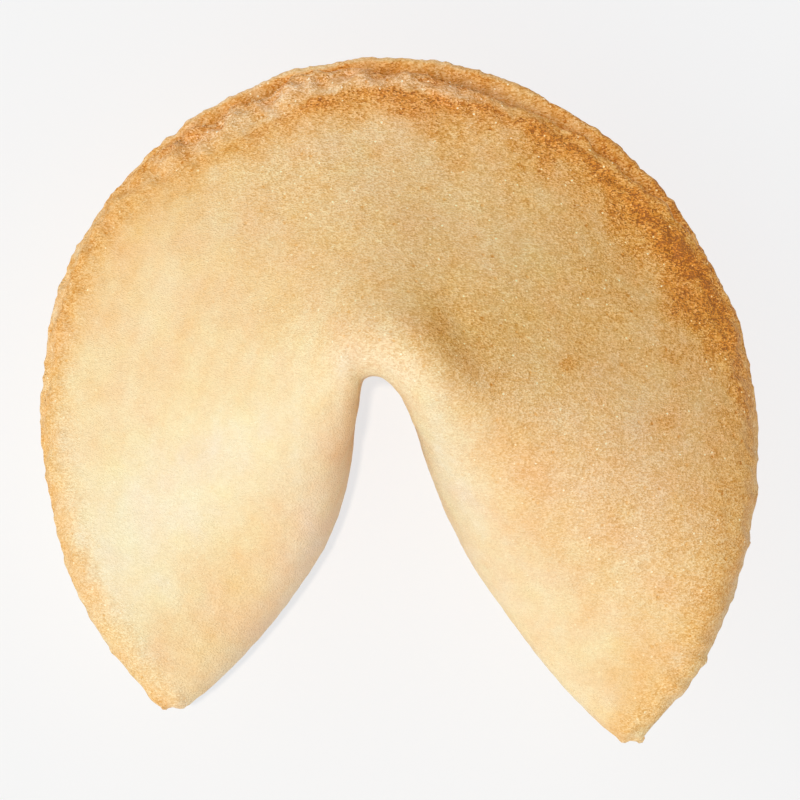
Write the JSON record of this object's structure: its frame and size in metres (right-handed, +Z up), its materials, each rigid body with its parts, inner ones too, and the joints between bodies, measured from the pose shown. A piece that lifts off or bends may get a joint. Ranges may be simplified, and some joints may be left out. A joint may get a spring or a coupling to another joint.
{
  "type": "fortune cookie",
  "caption": "Fortune cookie: a thin baked wafer disc folded in half over a hollow and bent at the fold, with a notch between two pointed horns.",
  "frame": {"origin": "bottom centre of the bounding box, on the surface that the cookie lies on", "axes": "+Z up, out through the front panel; +X from the left horn to the right horn; +Y away from the notch, towards the middle of the browned lips"},
  "size_m": [0.0574, 0.0552, 0.0294],
  "materials": {
    "wafer": "dry baked wafer, pale cream to tan, browned at the lips"
  },
  "bodies": {
    "root": {"cookie": "wafer"}
  },
  "joints": []
}
